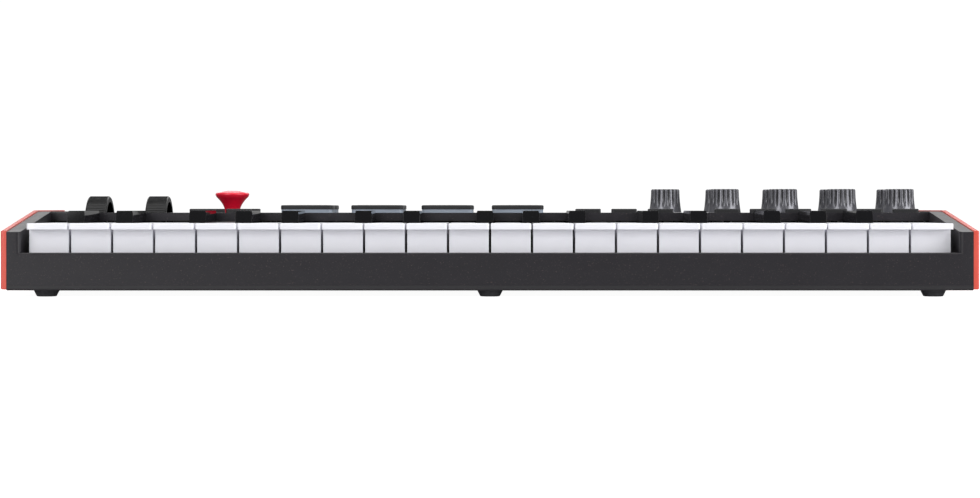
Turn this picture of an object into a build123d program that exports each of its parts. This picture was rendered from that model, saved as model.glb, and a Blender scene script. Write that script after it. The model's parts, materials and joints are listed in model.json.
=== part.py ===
from build123d import *
import math
import os

# A compact 37-key keyboard controller, in millimetres. +X is right, +Y is away from the player, +Z is up.
# The origin is on the table under the middle of the casing.

# --- the key bed ---
octaves = 3
white_pitch = 21.5
lip_gap = 0.8  # between the rounded lips of two white keys
face_gap = 1.3  # between their bodies, below the lip
bed_side_gap = 2.5  # from the last key to the rail
key_run = 92.0  # from the front plane to the panel's front wall
white_top = 37.6
white_skirt_bottom = 22.0
lip_front = 1.2
lip_depth = 7.3
lip_thickness = 3.1
key_wall = 1.5
key_top_plate = 1.9
lip_corner = 1.2
key_edge = 0.5
black_width = 8.8
black_top_width = 8.0
black_front = 38.0
black_top = 44.0
black_slant = 2.4
black_shoulder = 42.4  # where its sides start to lean in
black_slant_start = 35.1
black_clearance = 1.0  # black key to its white neighbours
black_offsets = {"C": -1.9, "D": 1.9, "F": -2.7, "G": 0.0, "A": 2.7}

# --- the hinge of the keys ---
rod_depth = 90.5
rod_height = 27.0
rod_radius = 1.5
rod_clearance = 0.05
knuckle_reach = 4.0
knuckle_inset = 0.5
rib_thickness = 1.2
key_travel = 5.5  # at the front of a white key
plunger_width = 2.0
plunger_gap = 3.0  # above the contact domes at rest

# --- the casing ---
panel_run = 87.0
rail_width = 7.0
cheek_thickness = 3.0
wall = 2.2
foot_height = 3.4
cover_thickness = 2.6
bezel_top = 22.6
bezel_depth = 7.2
rail_front_top = 33.25
panel_top = 42.8
rail_step = 0.7
cheek_step = 0.7
cheek_bottom = 3.9
panel_key_gap = 0.8
recess_corner = 2.2
bezel_edge = 1.2
cheek_edge = 1.0
cover_edge = 1.0
foot_top_radius = 6.75
foot_base_radius = 5.0
foot_inset = 15.0
foot_side_inset = 18.0

# --- thumb wheels ---
wheel_radius = 19.6
wheel_width = 11.7
wheel_proud = 9.0
wheel_back = 40.0
wheel_insets = (20.5, 53.7)
wheel_rim = 3.0
wheel_web = 4.5
axle_radius = 2.5
axle_clearance = 0.05
carrier_gap = 1.2
carrier_thickness = 2.0
slot_gap = 0.9
wheel_edge = 0.8
hub_wall = 2.5
axle_end = 0.8
carrier_half_depth = 6.0
carrier_over = 5.0

# --- joystick ---
stick_inset = 95.3
stick_back = 34.0
stick_pivot_height = 29.5
stick_top = 55.0
stick_rim_radius = 9.4
stick_rim_height = 53.4
stem_radius = 4.1
stick_core = 7.2
dome_radius = 12.2
dome_thickness = 1.2
gimbal_outer = 7.5
gimbal_inner = 5.0
gimbal_height = 4.0
pin_radius = 1.2
pin_clearance = 0.05
dome_rim_height = 3.0  # above the pivot
stick_hole_radius = 10.2
arm_width = 5.0
arm_thickness = 1.6
arm_gap = 0.7
arm_over = 2.2

# --- drum pads ---
pad_size = 28.4
pad_pitch_x = 38.5
pad_pitch_y = 33.0
pad_columns = 4
pad_rows = 2
pad_inset = 138.7
pad_back = 20.2
pad_top = 47.1
pad_corner = 2.2
pad_gap = 0.5
mat_thickness = 2.0
mat_margin = 2.4
mat_front_margin = 1.2
mat_panel_gap = 0.3
pad_edge = 0.7
pad_plunger_radius = 4.0
pad_stroke = 0.8
stroke_spare = 0.2

# --- buttons ---
button_width = 13.8
button_depth = 6.4
button_top = 45.0
button_gap = 0.4
button_corner = 1.2
button_edge = 0.5
button_mat_margin = 1.4
button_plunger_radius = 1.8
left_button_insets = (81.6, 101.6)
left_button_backs = (8.0, 60.0)
right_button_insets = (185.3, 165.6, 145.6, 109.2, 89.7, 70.2, 50.6, 31.1, 11.5)
right_button_back = 8.0

# --- knobs ---
knob_base_radius = 9.1
knob_top_radius = 8.0
knob_top = 56.0
knob_gap = 0.6
knob_skirt = 2.6
knob_pitch_x = 32.4
knob_pitch_y = 30.0
knob_columns = 4
knob_rows = 2
knob_inset = 11.4
knob_back = 30.0
knob_rim = 0.9
knob_roof = 2.0
knob_flutes = 18
flute_radius = 1.0
encoder_inset = 140.5
encoder_back = 45.0
shaft_radius = 3.0
shaft_clearance = 0.05
bushing_radius = 4.2
pot_size = 11.0
pot_height = 5.5
bushing_rise = 0.8  # into the knob's counterbore
bushing_gap = 0.4

# --- boards and display ---
board_top = 32.0
board_thickness = 1.6
board_front_gap = 5.0
board_rear_gap = 13.0
board_left_inset = 69.0
board_right_inset = 5.8
stick_board_hole = 14.0
display_width = 37.0
display_depth = 19.0
display_inset = 174.0
display_back = 42.0
display_gap = 0.3
display_drop = 0.2
contact_depth = 46.0
contact_width = 20.0
contact_height = 12.6
dome_strip_height = 2.8
dome_strip_inset = 4.0
contact_end_gap = 6.0
contact_post_radius = 2.5
contact_post_count = 3  # on each side of the middle one

# --- the key frame ---
frame_bottom = 9.0
frame_thickness = 2.0
frame_side_gap = 1.5
stop_depth = 12.0
stop_width = 8.0
stop_height = 15.5
felt_thickness = 1.2
guide_depth = 24.0
guide_thickness = 3.0
guide_top = 27.0
guide_gap = 0.35
rib_rise = 6.0
frame_boss_rise = 3.0
frame_back_gap = 0.9
tongue_inset = 8.0

# --- rear sockets ---
socket_height = 18.0
usb_x = 130.0
din_xs = (60.0, 90.0)
small_jack_xs = tuple(-80.0 + 16.0 * i for i in range(6))
large_jack_x = -112.0
lock_x = -190.0
usb_width = 8.45
usb_height = 7.8
usb_bore_depth = 9.0
usb_shell = 1.4
usb_back = 6.0
din_radius = 6.7
din_recess = 2.5
din_body = 18.0
din_body_depth = 12.0
din_pins = 5
din_pin_circle = 4.5
din_pin_radius = 0.8
din_pin_depth = 5.0
small_jack_radius = 1.8
small_jack_depth = 12.0
small_jack_body = 8.0
large_jack_radius = 3.25
large_jack_depth = 24.0
large_jack_body = 15.0
socket_flush = 0.4  # how far a socket's face sits inside the rear plane
socket_wall_gap = 0.1
collar_wall = 1.0
collar_gap = 0.3
lock_width = 7.0
lock_height = 3.0

# --- screws ---
screw_radius = 1.45
screw_head_radius = 2.8
screw_head_height = 1.5
boss_radius = 3.0
screw_reach = 9.0
screw_slot = 0.6
front_boss_depth = 4.65
front_boss_radius = 2.5
front_boss_xs = (-200.0, -100.0, 0.0, 100.0, 200.0)
rear_boss_xs = (-228.0, -150.0, 28.0, 228.0)
rear_boss_inset = 5.4
side_boss_back = 18.5
side_boss_inset = 2.5
frame_screw_xs = (-180.0, -60.0, 60.0, 180.0)
frame_screw_depth = 36.0
board_screw_radius = 1.1
board_screw_head_radius = 2.2
board_screw_head_height = 1.2
board_screw_reach = 4.0
board_post_radius = 2.5
post_from_stick = 20.3
post_from_pad = 22.8
left_post_backs = (21.0, 58.0)
middle_post_backs = (20.0, 64.0)
merge = 0.5  # how far a joined block runs into its neighbour
past = 1.0  # how far a cut runs past a face

# --- what follows from them ---
notes = ["C", "D", "E", "F", "G", "A", "B"] * octaves + ["C"]
white_count = len(notes)
bed_half = white_count * white_pitch / 2 + bed_side_gap
rail_half = bed_half + rail_width
overall_half = rail_half + cheek_thickness
overall_depth = key_run + panel_run
front = -overall_depth / 2
rear = overall_depth / 2
panel_front = front + key_run
panel_under = panel_top - wall
rail_top = panel_top + rail_step
seam = foot_height + cover_thickness
frame_top = frame_bottom + frame_thickness
board_under = board_top - board_thickness
mat_top = panel_under - mat_panel_gap
mat_bottom = mat_top - mat_thickness
key_angle = math.degrees(key_travel / (rod_depth - lip_front))
wheel_axis = panel_top + wheel_proud - wheel_radius
wheel_y = panel_front + wheel_back
stick_x = -bed_half + stick_inset
stick_y = panel_front + stick_back
pad_spots = [
    (-bed_half + pad_inset + pad_pitch_x * c, panel_front + pad_back + pad_pitch_y * r)
    for r in range(pad_rows)
    for c in range(pad_columns)
]
left_buttons = [
    (-bed_half + inset, panel_front + back) for back in left_button_backs for inset in left_button_insets
]
right_buttons = [(bed_half - inset, panel_front + right_button_back) for inset in right_button_insets]
knob_spots = [
    (bed_half - knob_inset - knob_pitch_x * (knob_columns - 1 - c), panel_front + knob_back + knob_pitch_y * r)
    for r in range(knob_rows)
    for c in range(knob_columns)
]
encoder_spot = (bed_half - encoder_inset, panel_front + encoder_back)
dome_strip_top = contact_height + board_thickness + dome_strip_height
plunger_y = front + contact_depth + contact_width / 2
plunger_bottom = dome_strip_top + plunger_gap
frame_back = front + rod_depth + knuckle_reach + frame_back_gap
knuckle_front = rod_depth - knuckle_reach
knuckle_bottom = rod_height - knuckle_reach
display_spot = (bed_half - display_inset, panel_front + display_back)
side_bosses = [(s * (bed_half - side_boss_inset), panel_front + side_boss_back) for s in (-1, 1)]
front_bosses = [(x, front + front_boss_depth) for x in front_boss_xs]
rear_bosses = [(x, rear - rear_boss_inset) for x in rear_boss_xs]
frame_screws = [(x, front + frame_screw_depth) for x in frame_screw_xs]
board_posts = [(stick_x + post_from_stick, panel_front + back) for back in left_post_backs]
board_posts += [(pad_spots[-1][0] + post_from_pad, panel_front + back) for back in middle_post_backs]
board_posts += [
    (knob_spots[c][0] + knob_pitch_x / 2, panel_front + knob_back + knob_pitch_y / 2) for c in (0, 2)
]
feet = [
    (x, y)
    for y in (front + foot_inset, rear - foot_inset)
    for x in (-rail_half + foot_side_inset, 0.0, rail_half - foot_side_inset)
]


def block(x0, x1, y0, y1, z0, z1):
    return Pos((x0 + x1) / 2, (y0 + y1) / 2, (z0 + z1) / 2) * Box(x1 - x0, y1 - y0, z1 - z0)


def post(x, y, z0, z1, radius):
    return Pos(x, y, (z0 + z1) / 2) * Cylinder(radius, z1 - z0)


def rod_x(x0, x1, y, z, radius):
    return Pos((x0 + x1) / 2, y, z) * Rot(0, 90, 0) * Cylinder(radius, x1 - x0)


def rod_y(x, y0, y1, z, radius):
    return Pos(x, (y0 + y1) / 2, z) * Rot(90, 0, 0) * Cylinder(radius, y1 - y0)


def along_x(points, x0, x1):
    # a closed outline of (y, z) points, drawn out from x0 to x1
    outline = Plane.YZ.offset(x0) * make_face(Polyline(*points, close=True))
    return extrude(outline, amount=x1 - x0, dir=(1, 0, 0))


def rounded_block(x, y, width, depth, z0, z1, corner):
    outline = Pos(x, y, z0) * RectangleRounded(width, depth, corner)
    return extrude(outline, amount=z1 - z0, dir=(0, 0, 1))


def knuckle(x0, x1, y0):
    # the solid block at a key's tail that turns on the hinge rod
    y, z = front + rod_depth, rod_height
    body = block(x0, x1, y0, y + knuckle_reach, knuckle_bottom, white_top)
    return body - rod_x(x0 - past, x1 + past, y, z, rod_radius + rod_clearance)


def plunger(x0, x1, top):
    half = plunger_width / 2
    return block(x0, x1, plunger_y - half, plunger_y + half, plunger_bottom, top + merge)


def white_edges(index):
    # the left and right sides of a white key's tail, beside its black neighbours
    centre = (index + 0.5 - white_count / 2) * white_pitch
    left_note = notes[index - 1] if index else None
    right_note = notes[index] if index < white_count - 1 else None
    reach = black_width / 2 + black_clearance
    left = centre - white_pitch / 2 + face_gap / 2
    right = centre + white_pitch / 2 - face_gap / 2
    if left_note in black_offsets:
        left = centre - white_pitch / 2 + black_offsets[left_note] + reach
    if right_note in black_offsets:
        right = centre + white_pitch / 2 + black_offsets[right_note] - reach
    return centre, left, right


def white_key(index):
    centre, left, right = white_edges(index)
    half = (white_pitch - face_gap) / 2
    lip_half = (white_pitch - lip_gap) / 2
    head_back = front + black_front - black_clearance
    head_front = front + lip_front + lip_depth
    tail_end = front + knuckle_front
    under = white_top - key_top_plate
    below = white_skirt_bottom - past
    head = block(centre - half, centre + half, head_front, head_back, white_skirt_bottom, white_top)
    lip = block(centre - lip_half, centre + lip_half, front + lip_front, head_front + key_wall,
                white_top - lip_thickness, white_top)
    lip = fillet(lip.edges().filter_by(Axis.Z).sort_by(Axis.Y)[:2], lip_corner)
    tail = block(left, right, head_back, tail_end, knuckle_bottom, white_top)
    head_hollow = block(centre - half + key_wall, centre + half - key_wall, head_front + key_wall,
                        head_back - key_wall, below, under)
    tail_hollow = block(left + key_wall, right - key_wall, head_back - key_wall - past, tail_end - key_wall,
                        below, under)
    key = head + lip + tail - head_hollow - tail_hollow
    key += plunger(left + key_wall / 2, right - key_wall / 2, under)
    key += knuckle(left + knuckle_inset, right - knuckle_inset, tail_end)
    front_edges = key.edges().group_by(Axis.Z)[-1].filter_by(lambda e: e.center().Y < head_front)
    return fillet(front_edges, key_edge)


def black_key(index):
    # index is the white boundary that the key stands over
    centre = (index - white_count / 2) * white_pitch + black_offsets[notes[index - 1]]
    half, top_half = black_width / 2, black_top_width / 2
    y0, y1 = front + black_front, panel_front - panel_key_gap
    above = black_top + past
    under = black_top - 2 * key_top_plate
    body = block(centre - half, centre + half, y0, y1, white_skirt_bottom, black_top)
    slope = [(y0 - past, black_slant_start), (y0, black_slant_start), (y0 + black_slant, above),
             (y0 - past, above)]
    body -= along_x(slope, centre - half - past, centre + half + past)
    for side in (-1, 1):
        outer, inner = centre + side * half, centre + side * top_half
        lean = [(outer + side, black_shoulder), (outer, black_shoulder), (inner, black_top),
                (outer + side, black_top)]
        corner = Plane.XZ * make_face(Polyline(*lean, close=True))
        body -= Pos(0, y0 - past, 0) * extrude(corner, amount=y1 - y0 + 2 * past, dir=(0, 1, 0))
    body -= block(centre - half + key_wall, centre + half - key_wall, y0 + key_wall + merge,
                  front + knuckle_front - key_wall, white_skirt_bottom - past, under)
    body -= block(centre - half - past, centre + half + past, front + knuckle_front, y1 + past,
                  white_skirt_bottom - past, knuckle_bottom)
    body += plunger(centre - half + key_wall / 2, centre + half - key_wall / 2, under)
    body += knuckle(centre - half, centre + half, y1 - merge)
    bore_radius = rod_radius + rod_clearance
    return body - rod_x(centre - half - past, centre + half + past, front + rod_depth, rod_height, bore_radius)


def housing_profile():
    return [(front, seam), (front, rail_front_top), (panel_front, rail_top), (rear, rail_top), (rear, seam)]


def rail_hollow(x0, x1):
    slope = (rail_top - rail_front_top) / key_run
    y0, y1 = front + wall, rear - wall
    points = [(y0, seam - past), (y0, rail_front_top + slope * wall - wall), (panel_front, rail_top - wall),
              (y1, rail_top - wall), (y1, seam - past)]
    return along_x(points, x0, x1)


def panel_openings():
    cuts = []
    low, high = panel_under - past, panel_top + past
    reach = math.sqrt(wheel_radius ** 2 - (panel_under - wheel_axis) ** 2) + slot_gap
    for inset in wheel_insets:
        x = -bed_half + inset
        half = wheel_width / 2 + slot_gap
        cuts.append(block(x - half, x + half, wheel_y - reach, wheel_y + reach, low, high))
    cuts.append(post(stick_x, stick_y, low, high, stick_hole_radius))
    for x, y in pad_spots:
        size = pad_size + 2 * pad_gap
        cuts.append(rounded_block(x, y, size, size, low, high, pad_corner + pad_gap))
    for x, y in left_buttons + right_buttons:
        cuts.append(rounded_block(x, y, button_width + 2 * button_gap, button_depth + 2 * button_gap, low, high,
                                  button_corner + button_gap))
    for x, y in knob_spots + [encoder_spot]:
        cuts.append(post(x, y, low, high, bushing_radius + bushing_gap))
    x, y = display_spot
    cuts.append(block(x - display_width / 2, x + display_width / 2, y - display_depth / 2, y + display_depth / 2,
                      low, high))
    return cuts


def rear_openings():
    y0, y1 = rear - wall - past, rear + past
    w, h = usb_width / 2 + usb_shell, usb_height / 2 + usb_shell
    cuts = [block(usb_x - w, usb_x + w, y0, y1, socket_height - h, socket_height + h)]
    round_sockets = [(x, din_radius) for x in din_xs] + [(x, small_jack_radius) for x in small_jack_xs]
    for x, radius in round_sockets + [(large_jack_x, large_jack_radius)]:
        cuts.append(rod_y(x, y0, y1, socket_height, radius + collar_wall + collar_gap))
    cuts.append(block(lock_x - lock_width / 2, lock_x + lock_width / 2, y0, y1,
                      socket_height - lock_height / 2, socket_height + lock_height / 2))
    return cuts


def bed_profile():
    # the open bed of the keys, and the space above the panel between the rails
    ledge, wall_back, wall_low = front + bezel_depth, panel_front + wall, white_top + panel_key_gap
    return [(ledge, seam - past), (ledge, bezel_top), (front - past, bezel_top), (front - past, rail_top + past),
            (rear + past, rail_top + past), (rear + past, panel_top), (panel_front, panel_top),
            (panel_front, wall_low), (wall_back, wall_low), (wall_back, seam - past)]


def top_housing():
    shell = along_x(housing_profile(), -rail_half, rail_half) - along_x(bed_profile(), -bed_half, bed_half)
    at_front = shell.edges().filter_by(lambda e: e.center().Y < front + 0.01)
    corners = at_front.filter_by(Axis.Z).filter_by(lambda e: abs(e.center().X) < rail_half - past)
    shell = fillet(corners, recess_corner)
    shell -= block(-bed_half - past, bed_half + past, front + wall, front + bezel_depth + past, seam - past,
                   bezel_top - wall)
    ledge = shell.edges().filter_by(Axis.X).filter_by(
        lambda e: e.center().Y < front + 0.01 and abs(e.center().Z - bezel_top) < 0.01)
    shell = fillet(ledge, bezel_edge)
    for side in (-1, 1):
        x0, x1 = sorted((side * (bed_half + wall), side * (rail_half - wall)))
        shell -= rail_hollow(x0, x1)
    inside = rail_half - wall
    shell -= block(-inside, inside, panel_front + wall, rear - wall, seam - past, panel_under)
    for x, y in side_bosses + rear_bosses:
        shell += post(x, y, seam, panel_under + merge, boss_radius)
    for x, y in front_bosses:
        shell += post(x, y, seam, bezel_top - wall + merge, front_boss_radius)
    for x, y in board_posts:
        shell += post(x, y, board_top, panel_under + merge, board_post_radius)
        shell -= post(x, y, board_top - past, board_top + board_screw_reach + past, board_screw_radius)
    for x, y in side_bosses + rear_bosses + front_bosses:
        shell -= post(x, y, seam - past, seam + screw_reach, screw_radius)
    for cut in panel_openings() + rear_openings():
        shell -= cut
    return shell


def bottom_cover():
    cover = block(-rail_half, rail_half, front, rear, foot_height, seam)
    cover = fillet(cover.edges().filter_by(Axis.X).group_by(Axis.Z)[0], cover_edge)
    for x, y in frame_screws:
        cover += post(x, y, seam - merge, frame_bottom, boss_radius)
    for x, y in front_bosses + side_bosses + rear_bosses + frame_screws:
        cover -= post(x, y, foot_height - past, frame_bottom + past, screw_radius)
        cover -= post(x, y, foot_height - past, foot_height + screw_head_height, screw_head_radius)
    for x, y in feet:
        cover -= post(x, y, foot_height - past, seam + past, foot_base_radius / 2)
    return cover


def end_cheek(side):
    points = [(front, cheek_bottom), (front, rail_front_top + cheek_step), (panel_front, rail_top + cheek_step),
              (rear, rail_top + cheek_step), (rear, cheek_bottom)]
    x0, x1 = sorted((side * rail_half, side * overall_half))
    cheek = along_x(points, x0, x1)
    outer = cheek.faces().sort_by(Axis.X)[-1 if side > 0 else 0]
    return fillet(outer.edges(), cheek_edge)


def thumb_wheel(inset):
    x = -bed_half + inset
    half = wheel_width / 2
    disc = rod_x(x - half, x + half, wheel_y, wheel_axis, wheel_radius)
    disc = fillet(disc.edges(), wheel_edge)
    dish = (wheel_width - wheel_web) / 2
    for side in (-1, 1):
        x0, x1 = sorted((x + side * half, x + side * (half - dish)))
        ring = rod_x(x0, x1, wheel_y, wheel_axis, wheel_radius - wheel_rim)
        disc -= ring - rod_x(x0, x1, wheel_y, wheel_axis, axle_radius + hub_wall)
    reach = half + carrier_gap + carrier_thickness + axle_end
    return disc + rod_x(x - reach, x + reach, wheel_y, wheel_axis, axle_radius)


def square_post(half, z0, z1):
    # a square block around the joystick's upright
    return block(stick_x - half, stick_x + half, stick_y - half, stick_y + half, z0, z1)


def stick_profile():
    # half of the mushroom cap: a straight root, a hollow flare, a rolled rim and a low crown
    root, start = panel_top - 3, panel_top + 0.6
    under_rim = (stick_rim_radius - 0.6, stick_rim_height - 1.9)
    shoulder = (stick_rim_radius - 1.4, stick_rim_height + 0.7)
    return make_face([
        Polyline((0, root), (stem_radius, root), (stem_radius, start)),
        Bezier((stem_radius, start), (stem_radius + 0.6, start + 5.2), under_rim),
        Bezier(under_rim, (stick_rim_radius + 0.75, stick_rim_height - 0.1), shoulder),
        Bezier(shoulder, (stick_rim_radius * 0.6, stick_top), (0, stick_top)),
        Line((0, stick_top), (0, root)),
    ])


def joystick():
    z = stick_pivot_height
    centre = Pos(stick_x, stick_y, 0)
    cap = centre * revolve(Plane.XZ * stick_profile(), Axis.Z)
    dome = Sphere(dome_radius) - Sphere(dome_radius - dome_thickness)
    dome &= block(-dome_radius, dome_radius, -dome_radius, dome_radius, dome_rim_height, dome_radius)
    core = square_post(stick_core / 2, z - stick_core / 2, z + stick_core / 2)
    stem = post(stick_x, stick_y, z, panel_top - 2, stem_radius - 1)
    pins = rod_x(stick_x - gimbal_outer, stick_x + gimbal_outer, stick_y, z, pin_radius)
    return cap + Pos(stick_x, stick_y, z) * dome + stem + core + pins


def joystick_gimbal():
    z = stick_pivot_height
    half, outer, inner = gimbal_height / 2, gimbal_outer, gimbal_inner
    ring = square_post(outer, z - half, z + half)
    ring -= square_post(inner, z - half - past, z + half + past)
    ring -= rod_x(stick_x - outer - past, stick_x + outer + past, stick_y, z, pin_radius + pin_clearance)
    for side in (-1, 1):
        reach = outer + arm_gap + arm_thickness
        y0, y1 = sorted((stick_y + side * (outer - merge), stick_y + side * reach))
        ring += rod_y(stick_x, y0, y1, z, pin_radius)
    return ring


def drum_pads():
    xs = [x for x, y in pad_spots]
    ys = [y for x, y in pad_spots]
    reach = pad_size / 2 + mat_margin
    mat = block(min(xs) - reach, max(xs) + reach, min(ys) - pad_size / 2 - mat_front_margin, max(ys) + reach,
                mat_bottom, mat_top)
    for x, y in pad_spots:
        pad = rounded_block(x, y, pad_size, pad_size, mat_bottom, pad_top, pad_corner)
        mat += fillet(pad.edges().group_by(Axis.Z)[-1], pad_edge)
        mat += post(x, y, board_top + pad_stroke + stroke_spare, mat_bottom + merge, pad_plunger_radius)
    return mat


def button(x, y):
    cap = rounded_block(x, y, button_width, button_depth, mat_bottom, button_top, button_corner)
    cap = fillet(cap.edges().group_by(Axis.Z)[-1], button_edge)
    return cap + post(x, y, board_top + pad_stroke + stroke_spare, mat_bottom + merge, button_plunger_radius)


def button_strips():
    # one silicone strip for each row of buttons, so that the left rows leave the joystick clear
    half = button_width / 2 + button_mat_margin
    deep = button_depth / 2 + button_mat_margin
    rows = [right_buttons]
    for row_y in sorted({y for x, y in left_buttons}):
        rows.append([(x, y) for x, y in left_buttons if y == row_y])
    strips = []
    for row in rows:
        xs = [x for x, y in row]
        y = row[0][1]
        strip = block(min(xs) - half, max(xs) + half, y - deep, y + deep, mat_bottom, mat_top)
        for x, y in row:
            strip += button(x, y)
        strips.append(strip)
    return strips


def knob(x, y):
    base = panel_top + knob_gap
    shoulder = base + knob_skirt
    rim = (knob_top_radius, knob_top - knob_rim)
    flare = (knob_base_radius - 0.3, base + 0.8)
    side = make_face([
        Polyline((0, knob_top), (knob_top_radius - knob_rim, knob_top), rim),
        Bezier(rim, (knob_top_radius + 0.25, shoulder + 2), flare),
        Polyline(flare, (knob_base_radius, base), (0, base), (0, knob_top)),
    ])
    body = revolve(Plane.XZ * side, Axis.Z)
    flute = Cylinder(flute_radius, knob_top - shoulder)
    centre = knob_top_radius + flute_radius / 2
    for place in PolarLocations(centre, knob_flutes):
        body -= Pos(0, 0, (knob_top + shoulder) / 2 + knob_skirt) * place * flute
    body -= post(0, 0, base - past, knob_top - knob_roof, shaft_radius)
    body -= post(0, 0, base - past, base + bushing_rise + bushing_gap, bushing_radius + bushing_gap)
    shaft = post(0, 0, board_top + 2 * shaft_radius / 3, knob_top - knob_roof, shaft_radius)
    return [Pos(x, y, 0) * body, Pos(x, y, 0) * shaft]


def pot(x, y):
    half = pot_size / 2
    body = block(x - half, x + half, y - half, y + half, board_top, board_top + pot_height)
    body += post(x, y, board_top + pot_height - merge, panel_top + knob_gap + bushing_rise, bushing_radius)
    return body - post(x, y, board_top + shaft_radius / 2, panel_top + 5, shaft_radius + shaft_clearance)


def main_board():
    x0, x1 = -bed_half + board_left_inset, bed_half - board_right_inset
    board = block(x0, x1, panel_front + board_front_gap, rear - board_rear_gap, board_under, board_top)
    board -= square_post(stick_board_hole, board_under - past, board_top + past)
    for x, y in board_posts:
        board -= post(x, y, board_under - past, board_top + past, board_screw_radius)
    return board


def display():
    x, y = display_spot
    w, d = display_width / 2 - display_gap, display_depth / 2 - display_gap
    return block(x - w, x + w, y - d, y + d, board_top, panel_top - display_drop)


def contact_strip():
    # the long board under the keys and the rubber domes on it
    reach = bed_half - frame_side_gap - contact_end_gap
    y0, y1 = front + contact_depth, front + contact_depth + contact_width
    board_face = contact_height + board_thickness
    strip = block(-reach, reach, y0, y1, contact_height, board_face)
    domes = block(-reach, reach, y0 + dome_strip_inset, y1 - dome_strip_inset, board_face, dome_strip_top)
    return [strip, domes]


def socket_body(x, width, depth, bore_radius, bore_depth):
    y1 = rear - wall - socket_wall_gap
    face = rear - socket_flush
    body = block(x - width / 2, x + width / 2, y1 - depth, y1, socket_height - width / 2, board_under)
    collar = rod_y(x, y1 - merge, face, socket_height, bore_radius + collar_wall)
    return body + collar - rod_y(x, face - bore_depth, rear + past, socket_height, bore_radius)


def din_socket(x):
    body = socket_body(x, din_body, din_body_depth, din_radius, din_recess)
    for i in range(din_pins):
        angle = math.radians(180 * i / (din_pins - 1))
        hole_x = x + din_pin_circle * math.cos(angle)
        hole_z = socket_height - din_pin_circle * math.sin(angle)
        body -= rod_y(hole_x, rear - socket_flush - din_recess - din_pin_depth, rear, hole_z, din_pin_radius)
    return body


def usb_socket():
    w, h = usb_width / 2, usb_height / 2
    s = usb_shell - collar_gap
    y0, face = rear - socket_flush - usb_bore_depth, rear - socket_flush
    body = block(usb_x - w - s, usb_x + w + s, y0 - usb_back, face,
                 socket_height - h - s, socket_height + h + s)
    wall_face = rear - wall - socket_wall_gap
    body += block(usb_x - w - s, usb_x + w + s, y0 - usb_back, wall_face, socket_height, board_under)
    return body - block(usb_x - w, usb_x + w, y0, rear + past, socket_height - h, socket_height + h)


def rear_sockets():
    jacks = [socket_body(x, small_jack_body, small_jack_depth + 2, small_jack_radius, small_jack_depth)
             for x in small_jack_xs]
    jacks.append(socket_body(large_jack_x, large_jack_body, large_jack_depth + 2, large_jack_radius,
                             large_jack_depth))
    return jacks + [din_socket(x) for x in din_xs] + [usb_socket()]


def wheel_carrier(inset):
    x = -bed_half + inset
    near = wheel_width / 2 + carrier_gap
    uprights = []
    for side in (-1, 1):
        x0, x1 = sorted((x + side * near, x + side * (near + carrier_thickness)))
        upright = block(x0, x1, wheel_y - carrier_half_depth, wheel_y + carrier_half_depth, frame_top - merge,
                        wheel_axis + carrier_over)
        bore = rod_x(x0 - past, x1 + past, wheel_y, wheel_axis, axle_radius + axle_clearance)
        uprights.append(upright - bore)
    return uprights


def gimbal_arms():
    arms = []
    near = gimbal_outer + arm_gap
    bore_radius = pin_radius + pin_clearance
    for side in (-1, 1):
        y0, y1 = sorted((stick_y + side * near, stick_y + side * (near + arm_thickness)))
        arm = block(stick_x - arm_width / 2, stick_x + arm_width / 2, y0, y1, frame_top - merge,
                    stick_pivot_height + arm_over)
        arms.append(arm - rod_y(stick_x, y0 - past, y1 + past, stick_pivot_height, bore_radius))
    return arms


def hinge_ribs():
    # ribs stand where two white keys meet with no black key between them, and at both ends
    half = bed_half - frame_side_gap
    plain = [i for i in range(1, white_count) if notes[i - 1] not in black_offsets]
    xs = [(i - white_count / 2) * white_pitch for i in plain]
    xs += [-half + rib_thickness / 2, half - rib_thickness / 2]
    ribs = []
    for x in xs:
        x0, x1 = x - rib_thickness / 2, x + rib_thickness / 2
        rod_y0 = front + rod_depth
        rib = block(x0, x1, rod_y0 - rib_rise, frame_back, frame_top - merge, rod_height + rib_rise)
        ribs.append(rib - rod_x(x0 - past, x1 + past, rod_y0, rod_height, rod_radius))
    return ribs


def key_guides():
    w = (white_pitch - face_gap) / 2 - key_wall - guide_gap
    y0, y1 = front + guide_depth, front + guide_depth + guide_thickness
    xs = [(index + 0.5 - white_count / 2) * white_pitch for index in range(white_count)]
    return [block(x - w, x + w, y0, y1, frame_top - merge, guide_top) for x in xs]


def contact_posts():
    end = bed_half - frame_side_gap - 2 * contact_end_gap
    steps = range(-contact_post_count, contact_post_count + 1)
    xs = [end * i / contact_post_count for i in steps]
    return [post(x, plunger_y, frame_top - merge, contact_height, contact_post_radius) for x in xs]


def key_chassis():
    half = bed_half - frame_side_gap
    stop_front, stop_back = front + stop_depth, front + stop_depth + stop_width
    frame = block(-half, half, stop_front - past, frame_back, frame_bottom, frame_top)
    frame += block(-half, half, stop_front, stop_back, frame_top - merge, stop_height)
    # the tongue behind the keys, under the wheels and the joystick
    frame += block(-bed_half + tongue_inset, stick_x + stick_board_hole, frame_back - past,
                   wheel_y + tongue_inset, frame_bottom, frame_top)
    pieces = key_guides() + hinge_ribs() + gimbal_arms() + contact_posts()
    for inset in wheel_insets:
        pieces += wheel_carrier(inset)
    for piece in pieces:
        frame += piece
    for x, y in frame_screws:
        frame += post(x, y, frame_top - merge, frame_top + frame_boss_rise, boss_radius)
        frame -= post(x, y, frame_bottom - past, frame_top + frame_boss_rise - past, screw_radius)
    rod = rod_x(-half, half, front + rod_depth, rod_height, rod_radius)
    felt = block(-half, half, stop_front, stop_back, stop_height, stop_height + felt_thickness)
    return [frame, rod, felt]


def rubber_foot(x, y):
    cone = Pos(x, y, foot_height / 2) * Cone(foot_base_radius, foot_top_radius, foot_height)
    return cone + post(x, y, foot_height - merge, seam, foot_base_radius / 2)


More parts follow.
